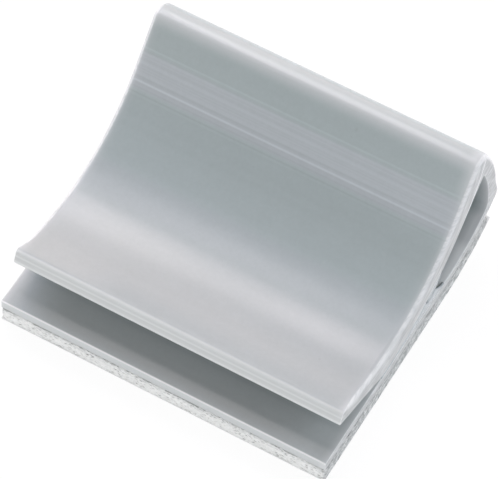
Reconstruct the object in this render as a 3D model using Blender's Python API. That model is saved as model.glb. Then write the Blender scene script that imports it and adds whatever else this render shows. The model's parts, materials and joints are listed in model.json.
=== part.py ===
"""Self-adhesive clip for flat cable.

A short length of one extruded plastic profile: a thin base strip, a heel that curves up into a
back wall, a rounded ridge, and a springy arm that comes down to the base and ends in a raised lip.
Under the base lie a foam tape and the liner that covers its lower adhesive.

Metres, +Z up. +X runs along the extrusion, and +Y from the mouth to the heel. The origin is the
centre of the footprint, on the surface that the clip stands on.
"""

import math
from collections import namedtuple

import bmesh
import bpy
from mathutils import Vector

MM = 0.001

# The extruded length and the overall depth
LENGTH = 28.0 * MM
DEPTH = 26.7 * MM

# The layers, from the liner upwards, and the gap kept between two of them
LINER_T = 0.15 * MM
TAPE_T = 0.8 * MM
BASE_T = 0.9 * MM
SEAT_GAP = 0.3 * MM

# The heel: the curve of the underside, and how far the tape stops short of its end
HEEL_RUN = 7.4 * MM
HEEL_R = 12.5 * MM
HEEL_CORNER_R = 0.9 * MM
TAPE_SETBACK = 2.0 * MM

# The back wall: a shallow arc that stands upright at one height
BACK_R = 14.1 * MM
BACK_UPRIGHT_Z = 4.3 * MM
BACK_T = 1.5 * MM

# The ridge: wide and round at the back, with a tighter bend that leads into the arm
RIDGE_R = 1.5 * MM
RIDGE_BEND_R = 0.65 * MM
RIDGE_BEND_RUN = 1.28 * MM
RIDGE_TOP_SLOPE = math.radians(10.0)

# The arm: its lowest point, measured from the back, and the two arcs of its upper face
ARM_LOW_FROM_BACK = 17.1 * MM
PINCH_GAP = 0.25 * MM
ARM_T = 2.15 * MM
ARM_R = 13.0 * MM
ARM_SLOPE = math.radians(50.0)
ARM_UNDER_SLOPE = math.radians(45.0)

# The lip and the mouth under it
LIP_R = 17.5 * MM
LIP_SETBACK = 2.4 * MM
LIP_T = 1.3 * MM
PINCH_FROM_LOW = 1.1 * MM

# Roundings of the section's corners
LIP_TOP_EDGE_R = 0.35 * MM
LIP_LOW_EDGE_R = 0.2 * MM
PINCH_EDGE_R = 1.5 * MM
APEX_EDGE_R = 0.12 * MM
FLOOR_EDGE_R = 1.0 * MM
BASE_EDGE_R = 0.15 * MM
BASE_LOW_EDGE_R = 0.1 * MM

# Roundings of the two cut ends: the cut rolls the outer skin over and leaves the rest crisp
END_ROLL_R = 0.55 * MM
END_EDGE_R = 0.1 * MM
END_SEGMENTS = 5

# How fast the rounding of an end may grow along the section, and its limit at a section's corner
END_EASE = 0.3
END_CORNER_SHARE = 0.8

# How finely arcs are drawn
ARC_STEP = math.radians(2.5)
CORNER_STEP = math.radians(15.0)

# Heights and places that follow from the sizes above
TAPE_Z = LINER_T + SEAT_GAP
BASE_Z = TAPE_Z + TAPE_T + SEAT_GAP
FLOOR_Z = BASE_Z + BASE_T
ARM_UNDER_Z = FLOOR_Z + PINCH_GAP
HEEL_CENTRE = Vector((DEPTH - HEEL_RUN, HEEL_R))
BACK_CENTRE = Vector((DEPTH - BACK_R, BACK_UPRIGHT_Z))
ARM_CENTRE = Vector((DEPTH - ARM_LOW_FROM_BACK, ARM_UNDER_Z + ARM_T + ARM_R))
LIP_CENTRE = Vector((ARM_CENTRE.x, ARM_UNDER_Z + ARM_T + LIP_R))

DOWN = -math.pi / 2.0

# A stretch of the section: its points, the radius of the corner after it, and the radius at the
# cut ends
Run = namedtuple("Run", "points corner_r end_r")


def on_circle(centre, radius, angle):
    """The point of a circle at an angle from +Y towards +Z."""
    return centre + radius * Vector((math.cos(angle), math.sin(angle)))


def arc(centre, radius, start, end, step=ARC_STEP):
    """Points along an arc, both ends included."""
    count = max(1, math.ceil(abs(end - start) / step))
    return [on_circle(centre, radius, start + (end - start) * i / count) for i in range(count + 1)]


def angle_of(centre, point):
    offset = point - centre
    return math.atan2(offset.y, offset.x)


def crossing_of_circles(centre_a, radius_a, centre_b, radius_b):
    """Where two circles cross, on the side to the right of the way from a to b."""
    between = centre_b - centre_a
    distance = between.length
    along = (distance ** 2 + radius_a ** 2 - radius_b ** 2) / (2.0 * distance)
    aside = math.sqrt(radius_a ** 2 - along ** 2)
    way = between / distance
    return centre_a + way * along + Vector((way.y, -way.x)) * aside


def crossing_of_line(point, slope, centre, radius):
    """Where a line that climbs from a point inside a circle leaves it."""
    way = Vector((math.cos(slope), math.sin(slope)))
    offset = point - centre
    half = offset.dot(way)
    return point + way * (-half + math.sqrt(half ** 2 - offset.length_squared + radius ** 2))


def rounded(incoming, outgoing, radius):
    """The rounding of the corner where one row of points ends and the next begins.

    Returns how far it reaches from the corner along both rows, and its points.
    """
    corner = incoming[-1]
    back = (incoming[-2] - corner).normalized()
    ahead = (outgoing[1] - corner).normalized()
    half = back.angle(ahead) / 2.0
    reach = radius / math.tan(half)
    centre = corner + (back + ahead).normalized() * (radius / math.sin(half))
    start = angle_of(centre, corner + back * reach)
    turn = math.remainder(angle_of(centre, corner + ahead * reach) - start, math.tau)
    return reach, arc(centre, radius, start, start + turn, CORNER_STEP)


def outline(runs):
    """One closed outline from runs that meet end to end: its points, and each one's end radius."""
    points = []
    end_radii = []
    following = runs[1:] + runs[:1]
    roundings = [rounded(run.points, after.points, run.corner_r)
                 for run, after in zip(runs, following)]
    for i, run in enumerate(runs):
        reach_before = roundings[i - 1][0]
        reach_after, rounding = roundings[i]
        kept = [p for p in run.points
                if (p - run.points[0]).length > reach_before
                and (p - run.points[-1]).length > reach_after]
        corner_end_r = min(run.end_r, following[i].end_r, run.corner_r * END_CORNER_SHARE)
        points += kept + rounding
        end_radii += [run.end_r] * len(kept) + [corner_end_r] * len(rounding)
    return points, eased(points, end_radii)


def eased(points, radii):
    """Radii that grow gradually away from the small ones."""
    return [min(other_radius + END_EASE * (point - other).length
                for other, other_radius in zip(points, radii))
            for point in points]


def outward(points):
    """The outward normal at each point of a closed outline that runs anticlockwise."""
    normals = []
    for i, before in enumerate(points):
        along = points[(i + 2) % len(points)] - before
        normals.append(Vector((along.y, -along.x)).normalized())
    return normals[-1:] + normals[:-1]


def clip_section():
    """The profile of the clip, from the front of the underside round to the front face."""
    heel_outer = HEEL_R - BASE_Z
    heel_inner = HEEL_R - FLOOR_Z
    back_inner = BACK_R - BACK_T
    heel_corner = crossing_of_circles(BACK_CENTRE, BACK_R, HEEL_CENTRE, heel_outer)
    floor_corner = crossing_of_circles(BACK_CENTRE, back_inner, HEEL_CENTRE, heel_inner)

    arm_top = on_circle(ARM_CENTRE, ARM_R, DOWN + ARM_SLOPE)
    arm_end = crossing_of_line(arm_top, ARM_SLOPE, BACK_CENTRE, BACK_R)
    bend_start = arm_end - RIDGE_BEND_RUN * Vector((math.cos(ARM_SLOPE), math.sin(ARM_SLOPE)))
    bend_centre = on_circle(bend_start, RIDGE_BEND_R, DOWN + ARM_SLOPE)
    bend = arc(bend_centre, RIDGE_BEND_R, RIDGE_TOP_SLOPE - DOWN, ARM_SLOPE - DOWN)
    ridge = crossing_of_line(bend[0], RIDGE_TOP_SLOPE, BACK_CENTRE, BACK_R)
    arm_under = on_circle(ARM_CENTRE, ARM_R + ARM_T, DOWN + ARM_UNDER_SLOPE)
    apex = crossing_of_line(arm_under, ARM_UNDER_SLOPE, BACK_CENTRE, back_inner)

    lip_angle = DOWN - math.asin((LIP_CENTRE.x - LIP_SETBACK) / LIP_R)
    lip_top = on_circle(LIP_CENTRE, LIP_R, lip_angle)
    lip_low = on_circle(LIP_CENTRE, LIP_R + LIP_T, lip_angle)
    pinch_angle = DOWN - math.asin(PINCH_FROM_LOW / (ARM_R + ARM_T))
    pinch = on_circle(ARM_CENTRE, ARM_R + ARM_T, pinch_angle)

    base_front = Vector((0.0, BASE_Z))
    floor_front = Vector((0.0, FLOOR_Z))

    underside = [base_front]
    underside += arc(HEEL_CENTRE, heel_outer, DOWN, angle_of(HEEL_CENTRE, heel_corner))
    back_wall = arc(
        BACK_CENTRE, BACK_R, angle_of(BACK_CENTRE, heel_corner), angle_of(BACK_CENTRE, ridge))
    arm_upper = [ridge] + bend
    arm_upper += arc(ARM_CENTRE, ARM_R, DOWN + ARM_SLOPE, DOWN)
    arm_upper += arc(LIP_CENTRE, LIP_R, DOWN, lip_angle)[1:]
    arm_lower = arc(ARM_CENTRE, ARM_R + ARM_T, pinch_angle, DOWN + ARM_UNDER_SLOPE)
    arm_lower += [apex]
    back_inside = arc(
        BACK_CENTRE, back_inner, angle_of(BACK_CENTRE, apex), angle_of(BACK_CENTRE, floor_corner))
    floor = arc(HEEL_CENTRE, heel_inner, angle_of(HEEL_CENTRE, floor_corner), DOWN)
    floor += [floor_front]

    return outline([
        Run(underside, HEEL_CORNER_R, END_EDGE_R),
        Run(back_wall, RIDGE_R, END_ROLL_R),
        Run(arm_upper, LIP_TOP_EDGE_R, END_ROLL_R),
        Run([lip_top, lip_low], LIP_LOW_EDGE_R, END_EDGE_R),
        Run([lip_low, pinch], PINCH_EDGE_R, END_EDGE_R),
        Run(arm_lower, APEX_EDGE_R, END_EDGE_R),
        Run(back_inside, FLOOR_EDGE_R, END_EDGE_R),
        Run(floor, BASE_EDGE_R, END_EDGE_R),
        Run([floor_front, base_front], BASE_LOW_EDGE_R, END_EDGE_R),
    ])


def strip_section(low_z, thickness):
    """A strip that lies flat under the base and follows the heel up to the tape's end."""
    heel_outer = HEEL_R - BASE_Z
    heel_corner = crossing_of_circles(BACK_CENTRE, BACK_R, HEEL_CENTRE, heel_outer)
    end = angle_of(HEEL_CENTRE, heel_corner) - TAPE_SETBACK / heel_outer
    lower = [Vector((0.0, low_z))] + arc(HEEL_CENTRE, HEEL_R - low_z, DOWN, end)
    high_z = low_z + thickness
    upper = arc(HEEL_CENTRE, HEEL_R - high_z, end, DOWN) + [Vector((0.0, high_z))]
    return lower + upper


def centred(section):
    """A section moved so that the middle of the depth is at zero."""
    return [Vector((place.x - DEPTH / 2.0, place.y)) for place in section]


def extruded(name, section, collection):
    """A solid made by extruding a section along X, with the origin at half its length."""
    curve = bpy.data.curves.new(name + "_outline", "CURVE")
    curve.dimensions = "2D"
    curve.fill_mode = "BOTH"
    curve.extrude = LENGTH / 2.0
    spline = curve.splines.new("POLY")
    spline.points.add(len(section) - 1)
    for point, place in zip(spline.points, centred(section)):
        point.co = (place.x, place.y, 0.0, 1.0)
    spline.use_cyclic_u = True

    drawn = bpy.data.objects.new(name + "_outline", curve)
    drawn.rotation_euler = (math.pi / 2.0, 0.0, math.pi / 2.0)
    collection.objects.link(drawn)
    bpy.context.view_layer.update()

    evaluated = drawn.evaluated_get(bpy.context.evaluated_depsgraph_get())
    mesh = bpy.data.meshes.new_from_object(evaluated)
    mesh.name = name
    cage = bmesh.new()
    cage.from_mesh(mesh)
    bmesh.ops.remove_doubles(cage, verts=cage.verts, dist=0.001 * MM)
    cage.to_mesh(mesh)
    cage.free()

    solid = bpy.data.objects.new(name, mesh)
    solid.matrix_world = drawn.matrix_world
    collection.objects.link(solid)
    bpy.data.objects.remove(drawn)
    return solid


def round_ends(solid, section, end_radii):
    """Round the outline of the two cut ends, each point by its own radius.

    Each end face is extruded in steps that follow a quarter circle. In the mesh, before the
    solid is turned, the section lies in X and Y and the extrusion runs along Z.
    """
    places = centred(section)
    normals = outward(section)
    cage = bmesh.new()
    cage.from_mesh(solid.data)
    section_point = cage.verts.layers.int.new("section_point")
    for vert in cage.verts:
        vert[section_point] = min(
            range(len(places)), key=lambda i: (places[i] - vert.co.xy).length)
    for side in (-1.0, 1.0):
        faces = [face for face in cage.faces if face.normal.z * side > 0.99]
        cap = bmesh.ops.dissolve_faces(cage, faces=faces)["region"][0]
        for vert in cap.verts:
            vert.co.z = side * (LENGTH / 2.0 - end_radii[vert[section_point]])
        for step in range(1, END_SEGMENTS + 1):
            turn = math.pi / 2.0 * step / END_SEGMENTS
            grown = bmesh.ops.extrude_face_region(cage, geom=[cap])["geom"]
            bmesh.ops.delete(cage, geom=[cap], context="FACES_ONLY")
            cap = next(item for item in grown if isinstance(item, bmesh.types.BMFace))
            for vert in cap.verts:
                i = vert[section_point]
                vert.co.xy = places[i] - normals[i] * end_radii[i] * (1.0 - math.cos(turn))
                vert.co.z = side * (LENGTH / 2.0 - end_radii[i] * (1.0 - math.sin(turn)))
    cage.to_mesh(solid.data)
    cage.free()


def finish(solid, colour, roughness, sharp_angle):
    """Give a solid its material and its shading."""
    material = bpy.data.materials.new(solid.name)
    material.use_nodes = True
    shader = material.node_tree.nodes["Principled BSDF"]
    shader.inputs["Base Color"].default_value = (*colour, 1.0)
    shader.inputs["Roughness"].default_value = roughness
    shader.inputs["Metallic"].default_value = 0.0
    solid.data.materials.append(material)
    solid.data.shade_smooth()
    solid.data.set_sharp_from_angle(angle=math.radians(sharp_angle))


def build_clip_body(collection):
    section, end_radii = clip_section()
    body = extruded("clip_body", section, collection)
    round_ends(body, section, end_radii)
    finish(body, colour=(0.48, 0.51, 0.52), roughness=0.35, sharp_angle=35.0)


def build_adhesive_tape(collection):
    tape = extruded("adhesive_tape", strip_section(TAPE_Z, TAPE_T), collection)
    finish(tape, colour=(0.74, 0.75, 0.73), roughness=0.9, sharp_angle=35.0)


def build_release_liner(collection):
    liner = extruded("release_liner", strip_section(0.0, LINER_T), collection)
    finish(liner, colour=(0.56, 0.58, 0.58), roughness=0.55, sharp_angle=35.0)


def main():
    for old in list(bpy.data.objects):
        bpy.data.objects.remove(old)
    parts = bpy.data.collections.new("flat_cable_clip")
    bpy.context.scene.collection.children.link(parts)
    build_clip_body(parts)
    build_adhesive_tape(parts)
    build_release_liner(parts)


main()
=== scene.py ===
"""Looks for the self-adhesive flat cable clip: materials, foam tape, cut edges, light and camera."""

import json
import math
import random
from types import SimpleNamespace

import bmesh
import bpy
from mathutils import Matrix, Vector, noise

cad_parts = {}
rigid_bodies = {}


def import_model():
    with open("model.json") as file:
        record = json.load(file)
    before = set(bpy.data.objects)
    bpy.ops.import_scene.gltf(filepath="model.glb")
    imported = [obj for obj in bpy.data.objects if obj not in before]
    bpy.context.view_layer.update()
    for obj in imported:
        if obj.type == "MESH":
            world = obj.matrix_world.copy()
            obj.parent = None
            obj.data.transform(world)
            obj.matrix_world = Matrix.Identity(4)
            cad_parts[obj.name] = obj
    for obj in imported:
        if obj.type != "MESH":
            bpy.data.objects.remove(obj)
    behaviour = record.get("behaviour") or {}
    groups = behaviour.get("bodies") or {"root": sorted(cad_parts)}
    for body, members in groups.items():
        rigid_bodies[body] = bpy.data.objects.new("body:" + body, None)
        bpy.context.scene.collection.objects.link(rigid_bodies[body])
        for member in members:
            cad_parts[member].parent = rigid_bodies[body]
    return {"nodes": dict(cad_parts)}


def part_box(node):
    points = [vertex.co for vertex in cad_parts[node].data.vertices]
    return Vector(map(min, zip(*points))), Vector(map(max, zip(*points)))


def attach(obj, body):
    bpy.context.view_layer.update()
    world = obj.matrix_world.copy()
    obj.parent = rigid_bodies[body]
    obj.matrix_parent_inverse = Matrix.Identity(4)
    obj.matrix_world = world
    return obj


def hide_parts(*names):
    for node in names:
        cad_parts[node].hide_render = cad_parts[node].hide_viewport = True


MM = 0.001

# Sizes that the source of the solids also has, in millimetres
LENGTH = 28.0
DEPTH = 26.7
LINER_T = 0.15
BASE_Z = 1.55
FLOOR_Z = 2.45
HEEL_RUN = 7.4
HEEL_R = 12.5
ARM_LOW_FROM_BACK = 17.1
PINCH_GAP = 0.25
ARM_T = 2.15
ARM_R = 13.0
ARM_LOW_Y = DEPTH - ARM_LOW_FROM_BACK - DEPTH / 2.0
ARM_CENTRE_Z = FLOOR_Z + PINCH_GAP + ARM_T + ARM_R
HALF = LENGTH / 2.0

# Where the plastic's marks lie, in millimetres
FRONT_Y = (-10.1, -10.5)
LIP_OVER_BASE_Z = (2.9, 3.2)
HOLLOW_Y = (3.0, 4.0)
DIE_BAND_Y = (4.75, 7.3)
DULL_BAND_Y = (5.15, 7.12)
NICKS = ((9.9, -7.15), (4.2, 8.15))

# The plastic's colours
SKIN = (0.372, 0.421, 0.422)
SKIN_VIOLET = (0.394, 0.422, 0.438)
SKIN_PLAIN = (0.394, 0.422, 0.424)
# A painted highlight along the ridge
SKIN_RIDGE_HIGHLIGHT = (0.66, 0.67, 0.67)
# Painted light: a glow towards the cut ends and a fill in the shaded hollow
SKIN_END_LIGHT = (0.68, 0.69, 0.69)
# Painted light on the hollow's floor, which lies in shade
HOLLOW_FLOOR_LIGHT = (0.92, 0.92, 0.91)
# Partly the slit faces' own paleness, partly painted light from the front and the floor
SLIT_FRONT = (0.735, 0.747, 0.732)
CUT_FACE = (0.585, 0.588, 0.58)
# A painted highlight on the cut arrises
CUT_ARRIS_HIGHLIGHT = (0.82, 0.825, 0.82)
# White for the real burr, and for the painted highlight on the base's arris
BURR_AND_HIGHLIGHT_WHITE = (0.95, 0.95, 0.94)
SPECK_DARK = (0.25, 0.26, 0.26)

# Every lamp stands this far from the clip, in millimetres
LAMP_DISTANCE = 600.0


class Nodes:
    """Short calls for building a shader or geometry node tree."""

    def __init__(self, tree):
        self.tree = tree

    def new(self, kind, inputs=(), **settings):
        node = self.tree.nodes.new(kind)
        for name, value in settings.items():
            setattr(node, name, value)
        for key, value in dict(inputs).items():
            if isinstance(value, bpy.types.NodeSocket):
                self.tree.links.new(value, node.inputs[key])
            else:
                node.inputs[key].default_value = value
        return node

    def math(self, operation, a, b=0.0, clamp=False):
        node = self.new("ShaderNodeMath", {0: a, 1: b}, operation=operation, use_clamp=clamp)
        return node.outputs[0]

    def product(self, *values):
        total = values[0]
        for value in values[1:]:
            total = self.math("MULTIPLY", total, value)
        return total

    def total(self, *values):
        total = values[0]
        for value in values[1:]:
            total = self.math("ADD", total, value)
        return total

    def fade(self, value, start, end, low=0.0, high=1.0):
        """Low before start, high after end, and a smooth way between them."""
        node = self.new("ShaderNodeMapRange", {
            "Value": value, "From Min": start, "From Max": end, "To Min": low, "To Max": high,
        }, interpolation_type="SMOOTHSTEP")
        return node.outputs[0]

    def band(self, value, start, end, edge):
        """One between start and end, with soft edges."""
        rise = self.fade(value, start - edge, start + edge)
        fall = self.fade(value, end - edge, end + edge, 1.0, 0.0)
        return self.math("MULTIPLY", rise, fall)

    def stripe(self, value, place, width):
        """A thin soft stripe around one place."""
        away = self.math("ABSOLUTE", self.math("SUBTRACT", value, place))
        return self.fade(away, 0.0, width, 1.0, 0.0)

    def faint(self, share, high):
        """A share from zero to one, smoothed and scaled to a new top."""
        return self.fade(share, 0.0, 1.0, 0.0, high)

    def swing(self, texture, size):
        """How far a texture lies from its middle, times a size."""
        return self.math("MULTIPLY", self.math("SUBTRACT", texture, 0.5), size)

    def scaled_colour(self, colour, tone):
        node = self.new("ShaderNodeVectorMath", {0: colour, "Scale": tone}, operation="SCALE")
        return node.outputs[0]

    def mix(self, share, a, b):
        node = self.new("ShaderNodeMix", {0: share}, data_type="RGBA")
        for socket, value in ((node.inputs[6], a), (node.inputs[7], b)):
            if isinstance(value, bpy.types.NodeSocket):
                self.tree.links.new(value, socket)
            else:
                socket.default_value = (*value, 1.0)
        return node.outputs[2]

    def mix_values(self, share, a, b):
        return self.new("ShaderNodeMix", {0: share, 2: a, 3: b}).outputs[0]

    def noise(self, place, scale, detail=2.0, roughness=0.5, stretch=(1.0, 1.0, 1.0)):
        """Noise with a scale in cycles per millimetre, stretched along the axes."""
        scaled = self.new("ShaderNodeVectorMath", {
            0: place, 1: [share * scale for share in stretch]}, operation="MULTIPLY")
        node = self.new("ShaderNodeTexNoise", {
            "Vector": scaled.outputs[0], "Scale": 1.0, "Detail": detail, "Roughness": roughness})
        return node.outputs[0]

    def cells(self, place, scale, stretch=(1.0, 1.0, 1.0)):
        """Distances in a Voronoi pattern with a scale in cells per millimetre."""
        scaled = self.new("ShaderNodeVectorMath", {
            0: place, 1: [share * scale for share in stretch]}, operation="MULTIPLY")
        node = self.new("ShaderNodeTexVoronoi", {"Vector": scaled.outputs[0], "Scale": 1.0})
        return node.outputs[0]

    def bump(self, height, depth_mm, below=None):
        inputs = {"Height": height, "Distance": depth_mm * MM, "Strength": 1.0}
        if below is not None:
            inputs["Normal"] = below
        return self.new("ShaderNodeBump", inputs).outputs[0]


def new_material(name):
    """An empty material: its node helper and its output node."""
    material = bpy.data.materials.new(name)
    material.use_nodes = True
    material.node_tree.nodes.clear()
    nodes = Nodes(material.node_tree)
    output = nodes.new("ShaderNodeOutputMaterial")
    return material, nodes, output


def place_on_part(nodes):
    """The place on the part in millimetres, as a vector and as X, Y and Z, and the way it faces."""
    coordinates = nodes.new("ShaderNodeTexCoord")
    place = nodes.new("ShaderNodeVectorMath", {
        0: coordinates.outputs["Object"], "Scale": 1.0 / MM}, operation="SCALE").outputs[0]
    x, y, z = nodes.new("ShaderNodeSeparateXYZ", {0: place}).outputs
    geometry = nodes.new("ShaderNodeNewGeometry")
    facing_x, facing_y, facing_z = nodes.new(
        "ShaderNodeSeparateXYZ", {0: geometry.outputs["Normal"]}).outputs
    return SimpleNamespace(
        place=place, x=x, y=y, z=z, facing_x=facing_x, facing_y=facing_y, facing_z=facing_z)


def cut_ends(nodes, at):
    """The faces that the cut left, their arrises, and painted light: a glow on the skin beside them, and
    light on the hollow's floor.
    """
    from_middle = nodes.math("ABSOLUTE", at.x)
    end_facing = nodes.math("ABSOLUTE", at.facing_x)
    cut = nodes.fade(end_facing, 0.75, 0.97)
    arris = nodes.band(end_facing, 0.45, 0.94, 0.12)
    # Painted light: fill in the shaded hollow by the right end, glow along both cut ends, and more by the
    # ridge at the right end
    in_hollow = nodes.product(
        nodes.fade(at.y, *HOLLOW_Y), nodes.fade(at.z, 4.2, 3.6), nodes.fade(at.x, HALF - 2.4, HALF - 0.2))
    by_ridge = nodes.math("MULTIPLY", nodes.fade(at.x, HALF - 1.4, HALF - 0.4, 0.0, 0.28),
                          nodes.fade(at.y, 6.6, 8.4))
    painted_end_light = nodes.total(
        nodes.math("MULTIPLY", in_hollow, 0.5),
        nodes.fade(from_middle, HALF - 1.2, HALF - 0.5, 0.0, 0.08),
        nodes.fade(from_middle, HALF - 0.7, HALF - 0.15, 0.0, 0.36),
        nodes.fade(from_middle, HALF - 0.3, HALF - 0.03, 0.0, 0.26),
        by_ridge)
    # Painted light on the hollow's floor by the right end, where it lies in shade
    hollow_floor_light = nodes.product(
        nodes.fade(at.y, *HOLLOW_Y), nodes.fade(at.z, 3.0, 2.7), nodes.fade(at.facing_z, 0.3, 0.8),
        nodes.fade(at.x, HALF - 1.3, HALF - 0.1, 0.0, 0.8))
    skin = nodes.math("SUBTRACT", 1.0, cut)
    return SimpleNamespace(cut=cut, arris=arris, painted_end_light=painted_end_light, hollow_floor_light=hollow_floor_light, skin=skin)


def cut_arm(nodes, at):
    """On a cut end: where the arm is, strands that follow it, and a pale burr along its underside."""
    arm_y = nodes.math("SUBTRACT", at.y, ARM_LOW_Y)
    arm_z = nodes.math("SUBTRACT", at.z, ARM_CENTRE_Z)
    reach = nodes.math("SQRT", nodes.total(nodes.product(arm_y, arm_y), nodes.product(arm_z, arm_z)))
    under = ARM_R + ARM_T
    on_arm = nodes.product(nodes.fade(reach, ARM_R - 0.1, ARM_R),
                           nodes.fade(reach, under, under + 0.05, 1.0, 0.0), nodes.fade(at.z, 3.0, 3.4))
    turn = nodes.math("ARCTAN2", arm_y, arm_z)
    strand_place = nodes.new("ShaderNodeCombineXYZ", {0: reach, 1: turn, 2: 0.0}).outputs[0]
    strands = nodes.noise(strand_place, 2.6, 2.0, 0.6, (1.0, 2.4, 1.0))
    burr = nodes.product(on_arm, nodes.stripe(reach, under - 0.06, 0.16))
    return SimpleNamespace(on_arm=on_arm, strands=strands, burr=burr)


def slit_fronts(nodes, at):
    """The slit front faces of the lip and the base, and the arrises over them."""
    near = nodes.fade(at.y, *FRONT_Y)
    face = nodes.math("MULTIPLY", near, nodes.fade(at.facing_y, 0.1, -0.5))
    low = nodes.fade(at.z, *reversed(LIP_OVER_BASE_Z))
    lip_arris = nodes.product(near, nodes.band(at.facing_y, -0.6, 0.3, 0.1),
                              nodes.fade(at.z, *LIP_OVER_BASE_Z))
    base_arris = nodes.product(near, low, nodes.band(at.facing_y, -0.9, -0.3, 0.15),
                               nodes.fade(at.z, FLOOR_Z - 0.2, FLOOR_Z - 0.1))
    # The stripe at the top of the lip's front lies on its arris and is a painted highlight; the lower
    # ones are faint stripes on the face
    lip_stripes = nodes.total(
        nodes.fade(at.z, 6.04, 6.4, 0.0, 0.32), nodes.faint(nodes.stripe(at.z, 5.87, 0.14), 0.15),
        nodes.faint(nodes.stripe(at.z, 5.42, 0.18), 0.18), -0.08)
    stripes = nodes.product(lip_stripes, nodes.fade(at.z, 4.4, 4.9))
    return SimpleNamespace(
        near=near, face=face, low=low, lip_arris=lip_arris, base_arris=base_arris, stripes=stripes)


def die_band(nodes, at):
    """The band of die lines below the ridge: its lined part, its dull part, and the painted highlight and
    painted shade of its single raised lines.
    """
    on_top = nodes.math("MULTIPLY", nodes.fade(at.z, 4.0, 5.0), nodes.fade(at.facing_z, 0.2, 0.4))
    lined = nodes.math("MULTIPLY", on_top, nodes.band(at.y, *DIE_BAND_Y, 0.1))
    dull = nodes.math("MULTIPLY", on_top, nodes.band(at.y, *DULL_BAND_Y, 0.16))
    # Painted highlight on each raised single line, and painted shade just beside it
    line_highlights = nodes.math("MULTIPLY", on_top, nodes.total(
        nodes.stripe(at.y, 5.59, 0.10), nodes.faint(nodes.stripe(at.y, 7.32, 0.09), 0.6),
        nodes.faint(nodes.stripe(at.y, 4.78, 0.08), 0.3)))
    line_shadows = nodes.math("MULTIPLY", on_top, nodes.total(
        nodes.stripe(at.y, 5.43, 0.10), nodes.faint(nodes.stripe(at.y, 7.19, 0.08), 0.15)))
    return SimpleNamespace(lined=lined, dull=dull, line_highlights=line_highlights, line_shadows=line_shadows)


def plastic_textures(nodes, place):
    """The fine and broad die lines, and the haze, peel, grain, speckle and saw marks."""
    return SimpleNamespace(
        fine_lines=nodes.noise(place, 5.6, 0.0, 0.5, (0.0012, 1.0, 1.0)),
        broad_lines=nodes.noise(place, 1.5, 0.0, 0.5, (0.004, 1.0, 1.0)),
        haze=nodes.noise(place, 0.35, 3.0, 0.55),
        peel=nodes.noise(place, 1.8, 2.0, 0.5, (0.7, 1.0, 1.0)),
        grain=nodes.noise(place, 12.0, 2.0, 0.6, (0.5, 1.0, 1.0)),
        speckle=nodes.noise(place, 3.2, 2.0, 0.7),
        saw=nodes.noise(place, 3.2, 4.0, 0.7, (1.0, 0.25, 1.6)))


def skin_colour(nodes, at, ends, fronts, band, textures):
    """The extruded skin: light grey and lined, with a painted highlight at the ridge, painted light
    towards the cut ends and on the hollow's floor, and slit fronts made paler, partly with painted light.
    """
    lines = nodes.math("MULTIPLY", nodes.math("SUBTRACT", textures.fine_lines, 0.5),
                       nodes.faint(band.lined, 0.26))
    # Painted highlight and painted shade of the raised single die lines
    line_light_and_shade = nodes.math("SUBTRACT", nodes.math("MULTIPLY", band.line_highlights, 0.19),
                      nodes.math("MULTIPLY", band.line_shadows, 0.08))
    tone = nodes.total(
        1.0, lines, nodes.swing(textures.broad_lines, 0.05), nodes.swing(textures.haze, 0.05),
        nodes.swing(textures.peel, 0.05), nodes.swing(textures.speckle, 0.1), line_light_and_shade,
        nodes.math("MULTIPLY", band.dull, 0.09))
    trough = nodes.band(at.y, -2.6, 0.0, 0.6)
    violet = nodes.math("MAXIMUM", band.dull, nodes.faint(trough, 0.5))
    plain = nodes.math("MAXIMUM", nodes.fade(at.y, -1.2, -4.0), nodes.fade(at.z, 3.4, 2.9))
    grey = nodes.mix(plain, nodes.mix(violet, SKIN, SKIN_VIOLET), SKIN_PLAIN)
    # Painted highlight along the ridge, strongest just below its top
    ridge_highlight = nodes.product(nodes.fade(at.y, 8.4, 9.2, 0.0, 0.7), nodes.fade(at.y, 9.2, 9.8, 1.0, 0.3),
                         nodes.fade(at.z, 9.0, 11.0), nodes.fade(at.facing_z, 0.1, 0.4))
    colour = nodes.mix(ridge_highlight, nodes.scaled_colour(grey, tone), SKIN_RIDGE_HIGHLIGHT)
    colour = nodes.mix(ends.painted_end_light, colour, SKIN_END_LIGHT)
    colour = nodes.mix(ends.hollow_floor_light, colour, HOLLOW_FLOOR_LIGHT)

    # The slit fronts are paler: partly their own slit surface, partly painted light from the front and
    # the floor
    front_lines = nodes.product(nodes.math("SUBTRACT", textures.broad_lines, 0.5), fronts.near, 0.3)
    front_tone = nodes.total(1.0, front_lines, fronts.stripes)
    front_share = nodes.math("MULTIPLY", fronts.face, nodes.fade(fronts.low, 0.0, 1.0, 0.8, 0.5))
    colour = nodes.mix(front_share, colour, nodes.scaled_colour(SLIT_FRONT, front_tone))
    # A pale line along the base's top arris: partly burr, partly painted highlight
    return nodes.mix(nodes.math("MULTIPLY", fronts.base_arris, 0.85), colour, BURR_AND_HIGHLIGHT_WHITE)


def with_cut_ends(nodes, skin, ends, arm, saw):
    """The skin's colour, with the streaked cut faces, a painted highlight along their ragged arrises, and
    the burr.
    """
    streaks = nodes.mix_values(arm.on_arm, saw, arm.strands)
    cut_tone = nodes.fade(streaks, 0.3, 0.7, 0.76, 1.1)
    colour = nodes.mix(ends.cut, skin, nodes.scaled_colour(CUT_FACE, cut_tone))
    # Painted highlight along the rolled arris of each cut end, broken up by the saw pattern
    ragged = nodes.fade(saw, 0.35, 0.6, 0.35, 0.9)
    colour = nodes.mix(nodes.math("MULTIPLY", ends.arris, ragged), colour, CUT_ARRIS_HIGHLIGHT)
    return nodes.mix(nodes.product(arm.burr, ends.cut, 0.8), colour, BURR_AND_HIGHLIGHT_WHITE)


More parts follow.
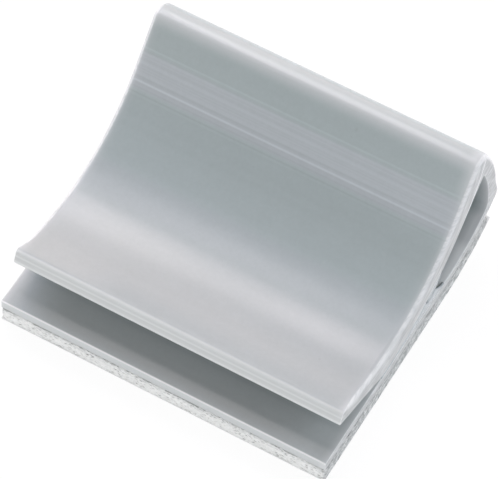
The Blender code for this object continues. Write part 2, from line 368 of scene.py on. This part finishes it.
def dark_specks(nodes, at):
    """A few scattered specks, and two nicks on the arm."""
    specks = nodes.fade(nodes.cells(at.place, 0.32), 0.0, 0.022, 1.0, 0.0)
    for nick_x, nick_y in NICKS:
        across = nodes.math("SUBTRACT", at.x, nick_x)
        along = nodes.math("SUBTRACT", at.y, nick_y)
        away = nodes.math("ADD", nodes.product(across, across), nodes.product(along, along))
        specks = nodes.math("MAXIMUM", specks, nodes.product(
            nodes.fade(away, 0.0, 0.02, 0.6, 0.0), nodes.fade(at.z, 4.0, 5.0)))
    return specks


def clip_plastic():
    """Extruded light grey PVC: fine die lines along X, and rough cut ends, with painted light beside them
    and painted highlights on their arrises.

    The skin's roughness stays over 0.28, because the denoiser leaves blotches below that.
    """
    material, nodes, output = new_material("clip_plastic")
    at = place_on_part(nodes)
    ends = cut_ends(nodes, at)
    arm = cut_arm(nodes, at)
    fronts = slit_fronts(nodes, at)
    band = die_band(nodes, at)
    textures = plastic_textures(nodes, at.place)

    skin = skin_colour(nodes, at, ends, fronts, band, textures)
    colour = with_cut_ends(nodes, skin, ends, arm, textures.saw)
    colour = nodes.mix(nodes.product(dark_specks(nodes, at), ends.skin, 0.35), colour, SPECK_DARK)

    rough_lines = nodes.product(nodes.math("SUBTRACT", textures.fine_lines, 0.5), band.dull, 0.06)
    roughness = nodes.total(
        0.283, rough_lines, nodes.math("MULTIPLY", textures.haze, 0.02),
        nodes.math("MULTIPLY", ends.painted_end_light, 0.4), nodes.math("MULTIPLY", fronts.face, 0.1),
        nodes.math("MULTIPLY", fronts.lip_arris, 0.22), nodes.math("MULTIPLY", ends.arris, 0.3),
        nodes.math("MULTIPLY", band.dull, 0.05), nodes.math("MULTIPLY", ends.cut, 0.2))

    relief = nodes.total(
        nodes.math("MULTIPLY", textures.fine_lines, nodes.faint(band.lined, 1.0)),
        nodes.math("MULTIPLY", textures.broad_lines, 0.6),
        nodes.math("MULTIPLY", textures.grain, 0.05),
        nodes.math("MULTIPLY", textures.peel, 0.8),
        nodes.math("MULTIPLY", nodes.math("SUBTRACT", band.line_highlights, band.line_shadows), 1.2))
    skin_bump = nodes.bump(nodes.math("MULTIPLY", relief, ends.skin), 0.0016)
    bump = nodes.bump(nodes.math("MULTIPLY", textures.saw, ends.cut), 0.03, skin_bump)

    shader = nodes.new("ShaderNodeBsdfPrincipled", {
        "Base Color": colour,
        "Roughness": roughness,
        "IOR": 1.52,
        "Normal": bump,
    })
    nodes.tree.links.new(shader.outputs[0], output.inputs["Surface"])
    return material


def foam():
    """Whitish foam with open cells at its cut edges and painted shade in those cells, greyer towards the
    base and at the sawn ends.
    """
    material, nodes, output = new_material("foam_tape")
    at = place_on_part(nodes)
    height = nodes.math("ADD", at.z, nodes.swing(nodes.noise(at.place, 1.1, 3.0), 0.7))
    mottle = nodes.noise(at.place, 5.0, 4.0, 0.65, (0.8, 0.8, 1.5))
    pale = nodes.mix(nodes.fade(mottle, 0.3, 0.7), (0.84, 0.84, 0.815), (0.96, 0.96, 0.94))
    grey = nodes.mix(nodes.fade(mottle, 0.35, 0.65), (0.68, 0.685, 0.67), (0.90, 0.90, 0.88))
    colour = nodes.mix(nodes.fade(height, 0.95, 1.25), pale, grey)

    dashes = nodes.noise(at.place, 2.0, 2.0, 0.6, (0.7, 0.7, 0.4))
    seam = nodes.math("MULTIPLY", nodes.fade(at.z, 1.36, 1.5), nodes.fade(dashes, 0.47, 0.6, 0.12, 1.0))
    sole = nodes.product(nodes.fade(at.z, 0.32, 0.2), nodes.fade(dashes, 0.42, 0.52, 1.0, 0.0), 0.5)
    joints = nodes.math("MAXIMUM", seam, sole)
    colour = nodes.mix(nodes.math("MULTIPLY", joints, 0.7), colour, (0.30, 0.31, 0.30))

    # Darker blotches on the sawn ends
    sawn = nodes.fade(nodes.math("ABSOLUTE", at.facing_x), 0.3, 0.8)
    blots = nodes.noise(at.place, 3.2, 3.0, 0.65, (1.0, 0.6, 1.1))
    sawn_blotches = nodes.math("MULTIPLY", sawn, nodes.fade(blots, 0.38, 0.62, 0.25, 0.85))
    colour = nodes.mix(sawn_blotches, colour, (0.36, 0.37, 0.365))

    # Painted shade in the open cells
    open_cells = nodes.fade(nodes.cells(at.place, 3.8, (0.6, 0.8, 1.6)), 0.12, 0.42, 1.0, 0.0)
    pits = nodes.product(open_cells, nodes.fade(nodes.noise(at.place, 0.9, 2.0), 0.42, 0.58, 0.55, 1.0),
                         nodes.fade(at.z, 0.2, 0.32, 0.3, 1.0))
    colour = nodes.mix(nodes.math("MULTIPLY", pits, 0.8), colour, (0.34, 0.34, 0.32))
    relief = nodes.math("SUBTRACT", mottle, nodes.math("MULTIPLY", pits, 0.8))
    shader = nodes.new("ShaderNodeBsdfPrincipled", {
        "Base Color": colour,
        "Roughness": nodes.fade(mottle, 0.2, 0.8, 0.75, 0.95),
        "Normal": nodes.bump(relief, 0.05),
    })
    nodes.tree.links.new(shader.outputs[0], output.inputs["Surface"])
    return material


def liner_film():
    """A thin satin film with faint creases and a soft mottle."""
    material, nodes, output = new_material("liner_film")
    place = place_on_part(nodes).place
    mottle = nodes.noise(place, 0.6, 4.0, 0.6)
    creases = nodes.noise(place, 0.16, 3.0, 0.7, (1.0, 2.2, 1.0))
    fibres = nodes.noise(place, 6.0, 3.0, 0.6, (0.3, 1.0, 1.0))
    colour = nodes.mix(nodes.fade(mottle, 0.3, 0.7), (0.80, 0.80, 0.785), (0.88, 0.88, 0.865))
    relief = nodes.math("ADD", nodes.math("MULTIPLY", creases, 1.0),
                        nodes.math("MULTIPLY", fibres, 0.03))
    shader = nodes.new("ShaderNodeBsdfPrincipled", {
        "Base Color": colour,
        "Roughness": nodes.fade(fibres, 0.3, 0.7, 0.42, 0.55),
        "Normal": nodes.bump(relief, 0.04),
    })
    nodes.tree.links.new(shader.outputs[0], output.inputs["Surface"])
    return material


def smooth_shading(solid, limit_degrees):
    """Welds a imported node's triangles and smooths them, with flat end faces kept flat."""
    tree = bpy.data.node_groups.new(solid.name + "_shading", "GeometryNodeTree")
    tree.interface.new_socket("Geometry", in_out="INPUT", socket_type="NodeSocketGeometry")
    tree.interface.new_socket("Geometry", in_out="OUTPUT", socket_type="NodeSocketGeometry")
    nodes = Nodes(tree)
    start = nodes.new("NodeGroupInput")
    end = nodes.new("NodeGroupOutput")
    welded = nodes.new("GeometryNodeMergeByDistance", {
        "Geometry": start.outputs[0], "Distance": 0.0001 * MM})
    plain = nodes.new("GeometryNodeRemoveAttribute", {
        "Geometry": welded.outputs[0], "Name": "custom_normal"})
    faces = nodes.new("GeometryNodeSetShadeSmooth", {
        "Geometry": plain.outputs[0], "Shade Smooth": True}, domain="FACE")
    normal = nodes.new("GeometryNodeInputNormal")
    along = nodes.new("ShaderNodeSeparateXYZ", {0: normal.outputs[0]})
    flat_end = nodes.math("GREATER_THAN", nodes.math("ABSOLUTE", along.outputs[0]), 0.9999)
    share = nodes.new("GeometryNodeFieldOnDomain", {0: flat_end}, domain="EDGE", data_type="FLOAT")
    rim = nodes.math("COMPARE", share.outputs[0], 0.5)
    rim.node.inputs[2].default_value = 0.25
    angle = nodes.new("GeometryNodeInputMeshEdgeAngle")
    bent = nodes.math("GREATER_THAN", angle.outputs[0], math.radians(limit_degrees))
    soft = nodes.math("LESS_THAN", nodes.math("ADD", rim, bent), 0.5)
    edges = nodes.new("GeometryNodeSetShadeSmooth", {
        "Geometry": faces.outputs[0], "Shade Smooth": soft}, domain="EDGE")
    tree.links.new(edges.outputs[0], end.inputs[0])
    modifier = solid.modifiers.new("smooth_shading", "NODES")
    modifier.node_group = tree


def piece_from(cage, name, material):
    """Makes a smooth piece of a finished cage and lets it ride on the clip."""
    mesh = bpy.data.meshes.new(name)
    cage.to_mesh(mesh)
    cage.free()
    mesh.materials.append(material)
    mesh.shade_smooth()
    piece = bpy.data.objects.new(name, mesh)
    bpy.context.scene.collection.objects.link(piece)
    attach(piece, "root")
    return piece


def join_rings(cage, rings):
    """Faces between each ring of vertices and the next one."""
    count = len(rings[0])
    for lower, upper in zip(rings, rings[1:]):
        for i in range(count):
            j = (i + 1) % count
            cage.faces.new((lower[i], lower[j], upper[j], upper[i]))


def under_base(run, height):
    """A place under the base: how far back from the front, measured at the liner, and how high.

    Returns Y and Z, and the way up there. The layers lie flat and then follow the heel.
    """
    flat = DEPTH - HEEL_RUN
    if run <= flat:
        return run - DEPTH / 2.0, height, Vector((0.0, 0.0, 1.0))
    turn = (run - flat) / HEEL_R
    radius = HEEL_R - height
    up = Vector((0.0, -math.sin(turn), math.cos(turn)))
    return flat - DEPTH / 2.0 + radius * math.sin(turn), HEEL_R - radius * math.cos(turn), up


def heel_run_of_node(name):
    """How far back a strip under the base reaches, measured at the liner's underside."""
    low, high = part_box(name)
    back = high[1] / MM + DEPTH / 2.0
    flat = DEPTH - HEEL_RUN
    radius = HEEL_R - low[2] / MM
    return flat + HEEL_R * math.asin(min(1.0, (back - flat) / radius))


def foam_edge(place):
    """How far the cut foam stands out at a place, in millimetres."""
    wave = noise.noise(place * 0.55)
    lump = noise.noise(place * 2.1 + Vector((7.0, 3.0, 1.0)))
    cell = noise.voronoi(place * 3.4)[0][0]
    pit = max(0.0, 0.42 - cell) / 0.42
    return 0.03 * wave + 0.04 * lump - 0.14 * pit + 0.01


def rounded_corner(x, run, way, half, run_end):
    """Pulls a place on the tape's outline in to a round corner: tight in front, wider at the back."""
    front = run < 1.0
    size = 0.28 if front else 0.6
    centre_x = math.copysign(half - size, x)
    centre_run = size if front else run_end - size
    over_x = (x - centre_x) * math.copysign(1.0, x)
    over_run = centre_run - run if front else run - centre_run
    if over_x <= 0.0 or over_run <= 0.0:
        return x, run, way
    reach = math.hypot(over_x, over_run)
    out = (math.copysign(over_x, x) / reach, (-over_run if front else over_run) / reach)
    return centre_x + out[0] * size, centre_run + out[1] * size, out


def tape_outline(across, along, run_end):
    """The stations round the tape, anticlockwise from the left front: X, run and the way out."""
    loop = [(-HALF + LENGTH * i / across, 0.0, (0.0, -1.0)) for i in range(across)]
    loop += [(HALF, run_end * i / along, (1.0, 0.0)) for i in range(along)]
    loop += [(HALF - LENGTH * i / across, run_end, (0.0, 1.0)) for i in range(across)]
    loop += [(-HALF, run_end * (1.0 - i / along), (-1.0, 0.0)) for i in range(along)]
    return [rounded_corner(*station, HALF, run_end) for station in loop]


def tape_ring(cage, loop, height):
    """One row of vertices round the ragged edge, at a height over the liner's underside."""
    ring = []
    for x, run, (out_x, out_run) in loop:
        y, z, up = under_base(run, height)
        place = Vector((x, y, z))
        back = Vector((0.0, up.z, -up.y))
        way = Vector((out_x, 0.0, 0.0)) + back * out_run
        place += way * foam_edge(place)
        ring.append(cage.verts.new(place * MM))
    return ring


def cap(cage, ring, across, along, turned):
    """Closes the tape below or above, with strips that run from its right side to its left."""
    count = len(ring)
    right, back_row, left = across, across + along, 2 * across + along
    strips = [[ring[i] for i in range(0, right + 1)] + [ring[right + 1], ring[count - 1]]]
    for i in range(1, along - 1):
        strips.append([ring[right + i], ring[right + i + 1], ring[count - i - 1], ring[count - i]])
    strips.append([ring[i] for i in range(back_row - 1, left + 2)])
    for corners in strips:
        cage.faces.new(list(reversed(corners)) if turned else corners)


def foam_tape():
    """The foam tape: closed, ragged and pitted round its cut edges, and smooth above and below."""
    step = 0.1
    rows = 14
    below_base = 0.02
    run_end = heel_run_of_node("adhesive_tape")
    low, high = LINER_T, BASE_Z - below_base
    across = int(LENGTH / step)
    along = int(run_end / step)
    loop = tape_outline(across, along, run_end)
    cage = bmesh.new()
    rings = [tape_ring(cage, loop, low + (high - low) * row / rows) for row in range(rows + 1)]
    join_rings(cage, rings)
    cap(cage, rings[0], across, along, True)
    cap(cage, rings[-1], across, along, False)
    piece = piece_from(cage, "foam_tape", foam())
    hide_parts("adhesive_tape")


def under_arm(y):
    """The height of the arm's underside at a place between the pinch and the hollow."""
    return ARM_CENTRE_Z - math.sqrt((ARM_R + ARM_T) ** 2 - (y - ARM_LOW_Y) ** 2)


def along_stations(stations, y):
    """The heights at a place between stations that are listed as Y, low and high."""
    for first, second in zip(stations, stations[1:]):
        if y <= second[0]:
            share = (y - first[0]) / (second[0] - first[0])
            return [a + (b - a) * share for a, b in zip(first[1:], second[1:])]
    return stations[-1][1:]


def smear_ring(y, low, high, seed):
    """One section of a sliver: a lumpy bulge over the end face, and a straight root inside it."""
    rows = 6
    stand = 0.10
    root = 0.24
    ring = []
    for row in range(rows + 1):
        share = row / rows
        z = low + (high - low) * share
        bulge = math.sqrt(max(0.0, 1.0 - (2.0 * share - 1.0) ** 2))
        lump = 0.05 * noise.noise(Vector((seed, y * 2.3, z * 2.9)))
        ring.append(Vector((HALF - stand + stand * bulge + lump * bulge, y, z)))
    for row in range(rows - 1, 0, -1):
        z = low + (high - low) * row / rows
        ring.append(Vector((HALF - root, y, z)))
    return ring


def smear(name, stations, seed):
    """A thin ragged sliver of plastic that the cut dragged over the right end face."""
    rng = random.Random(seed)
    step = 0.07
    ragged = 0.035
    start, end = stations[0][0], stations[-1][0]
    count = int((end - start) / step)
    jitter = [rng.uniform(-ragged, ragged) for _ in range(count + 1)]
    cage = bmesh.new()
    rings = []
    for i in range(count + 1):
        y = start + (end - start) * i / count
        low, high = along_stations(stations, y)
        low += 0.5 * jitter[i]
        high += jitter[i] + 0.06 * noise.noise(Vector((y * 1.7, seed, 0.0)))
        high = max(high, low + 0.04)
        rings.append([cage.verts.new(place * MM) for place in smear_ring(y, low, high, seed)])
    join_rings(cage, rings)
    cage.faces.new(rings[0])
    cage.faces.new(list(reversed(rings[-1])))
    bmesh.ops.recalc_face_normals(cage, faces=cage.faces)
    piece = piece_from(cage, name, bpy.data.materials["clip_plastic"])


def smears():
    """What the cut dragged over the gap between the arm and the base at the right end."""
    floor_z = FLOOR_Z - 0.12
    touching = [-4.4, -3.8, -3.0, -2.0, -1.0, 0.0, 0.8, 1.5, 2.0]
    low = [(-4.75, floor_z, FLOOR_Z + 0.03)]
    low += [(y, floor_z, under_arm(y) + 0.04) for y in touching]
    low += [(2.3, floor_z, 3.36), (2.6, floor_z, 3.42), (3.0, floor_z, 3.52), (3.4, floor_z, 3.62),
            (3.7, floor_z, 3.56), (3.95, floor_z, 3.3), (4.3, floor_z, 2.92), (4.7, floor_z, 2.64),
            (5.1, floor_z, 2.5)]
    smear("smear_low", low, 3)
    high = [(2.35, 3.46, under_arm(2.35) + 0.08), (2.7, 3.52, under_arm(2.7) + 0.12),
            (3.1, 3.62, under_arm(3.1) + 0.12), (3.5, 3.74, under_arm(3.5) + 0.12),
            (3.75, 3.92, under_arm(3.75) + 0.12), (4.0, 4.3, under_arm(4.0) + 0.1),
            (4.25, under_arm(4.25) - 0.04, under_arm(4.25) + 0.04)]
    smear("smear_high", high, 8)


def camera():
    """The photograph's view, from a fit to the extrusion's edges."""
    data = bpy.data.cameras.new("camera")
    data.sensor_width = 36.0
    data.lens = 281.02
    data.shift_x = -0.001
    data.shift_y = 0.001
    data.clip_start = 0.01
    data.clip_end = 10.0
    view = bpy.data.objects.new("camera", data)
    bpy.context.scene.collection.objects.link(view)
    right = Vector((0.8671, 0.4976, 0.0232))
    up = Vector((-0.4252, 0.7150, 0.5549))
    back = Vector((0.2595, -0.4910, 0.8316))
    turn = Matrix((right, up, back)).transposed()
    view.matrix_world = Matrix.Translation(Vector((76.34, -144.61, 249.07)) * MM) @ turn.to_4x4()
    bpy.context.scene.camera = view


def floor():
    """A plain pale floor that shows white and keeps a soft shadow."""
    mesh = bpy.data.meshes.new("floor")
    cage = bmesh.new()
    bmesh.ops.create_grid(cage, x_segments=1, y_segments=1, size=0.6)
    cage.to_mesh(mesh)
    cage.free()
    ground = bpy.data.objects.new("floor", mesh)
    ground.location.z = -0.02 * MM
    bpy.context.scene.collection.objects.link(ground)
    material, nodes, output = new_material("floor")
    plain = nodes.new("ShaderNodeBsdfDiffuse", {"Color": (0.8, 0.8, 0.8, 1.0)})
    table = nodes.new("ShaderNodeEmission", {"Color": (1.0, 1.0, 1.0, 1.0), "Strength": 0.18})
    lit = nodes.new("ShaderNodeAddShader", {0: plain.outputs[0], 1: table.outputs[0]})
    seen = nodes.new("ShaderNodeBsdfDiffuse", {"Color": (0.1, 0.1, 0.1, 1.0)})
    glow = nodes.new("ShaderNodeEmission", {"Color": (1.0, 1.0, 1.0, 1.0), "Strength": 0.92})
    white = nodes.new("ShaderNodeAddShader", {0: seen.outputs[0], 1: glow.outputs[0]})
    path = nodes.new("ShaderNodeLightPath")
    looked = nodes.math("ADD", path.outputs["Is Camera Ray"], path.outputs["Is Glossy Ray"], True)
    mix = nodes.new("ShaderNodeMixShader", {0: looked, 1: lit.outputs[0], 2: white.outputs[0]})
    nodes.tree.links.new(mix.outputs[0], output.inputs["Surface"])
    mesh.materials.append(material)


def lamp(name, across, over, radiance, tint):
    """A soft rectangular lamp on a sphere round the clip.

    It spans a range across X, as shares of the distance, and a range of angles over the clip,
    from the horizon behind it at 0 to the one before it at 180 degrees.
    """
    corners = []
    for share in across:
        for degrees in over:
            level = math.sqrt(1.0 - share * share)
            angle = math.radians(degrees)
            corners.append(Vector((share, level * math.cos(angle), level * math.sin(angle))))
    corners = [corner * LAMP_DISTANCE * MM for corner in corners]
    place = sum(corners, Vector()) / 4.0
    data = bpy.data.lights.new(name, "AREA")
    data.shape = "RECTANGLE"
    data.size = (corners[2] - corners[0]).length
    data.size_y = (corners[1] - corners[0]).length
    data.energy = math.pi * data.size * data.size_y * radiance
    data.color = tint
    light = bpy.data.objects.new(name, data)
    bpy.context.scene.collection.objects.link(light)
    way = (Vector((0.0, 0.0, 5.0 * MM)) - place).normalized()
    side = (Vector((1.0, 0.0, 0.0)) - way * way.x).normalized()
    up = (-way).cross(side)
    turn = Matrix((side, up, -way)).transposed()
    light.matrix_world = Matrix.Translation(place) @ turn.to_4x4()


def light_up():
    world = bpy.data.worlds.new("studio")
    bpy.context.scene.world = world
    world.use_nodes = True
    world.node_tree.nodes.clear()
    nodes = Nodes(world.node_tree)
    output = nodes.new("ShaderNodeOutputWorld")
    room = nodes.new("ShaderNodeBackground", {"Color": (0.99, 1.00, 1.00, 1.0), "Strength": 0.25})
    backdrop = nodes.new("ShaderNodeBackground", {"Color": (1.0, 1.0, 1.0, 1.0), "Strength": 1.0})
    path = nodes.new("ShaderNodeLightPath")
    mix = nodes.new("ShaderNodeMixShader", {
        0: path.outputs["Is Camera Ray"], 1: room.outputs[0], 2: backdrop.outputs[0]})
    nodes.tree.links.new(mix.outputs[0], output.inputs["Surface"])
    lamp("softbox_back", (-0.45, 0.0), (50.0, 70.0), 1.72, (0.87, 0.99, 1.14))
    lamp("softbox_back_left", (-0.45, -0.285), (45.0, 62.0), 7.32, (1.14, 0.98, 0.89))
    lamp("softbox_back_right", (-0.205, -0.05), (51.0, 60.0), 12.15, (1.12, 0.95, 0.93))
    lamp("top_strip", (-0.45, 0.0), (73.0, 81.0), 5.20, (1.06, 0.96, 0.97))
    lamp("back_horizon", (-0.45, 0.0), (8.0, 42.0), 2.31, (1.17, 0.95, 0.88))
    lamp("left_low", (-0.85, -0.45), (5.0, 35.0), 1.06, (1.09, 1.09, 0.81))
    lamp("left_mid", (-0.85, -0.45), (35.0, 70.0), 5.97, (0.93, 0.95, 1.13))
    lamp("right_back", (0.5, 0.9), (5.0, 60.0), 2.76, (0.93, 0.99, 1.08))
    lamp("front_low", (-0.45, 0.0), (158.0, 174.0), 3.43, (0.95, 1.01, 1.04))
    lamp("front_right", (0.0, 0.5), (135.0, 172.0), 2.10, (0.95, 0.98, 1.06))
    lamp("front_left", (-0.85, -0.45), (135.0, 172.0), 0.93, (1.14, 1.01, 0.85))
    bpy.context.scene.view_settings.view_transform = "Standard"


for old in list(bpy.data.objects):
    bpy.data.objects.remove(old)
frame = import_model()
bpy.context.view_layer.update()

body = frame["nodes"]["clip_body"]
body.data.materials[0] = clip_plastic()
smooth_shading(body, 35.0)
liner = frame["nodes"]["release_liner"]
liner.data.materials[0] = liner_film()
smooth_shading(liner, 35.0)
foam_tape()
smears()

floor()
light_up()
camera()
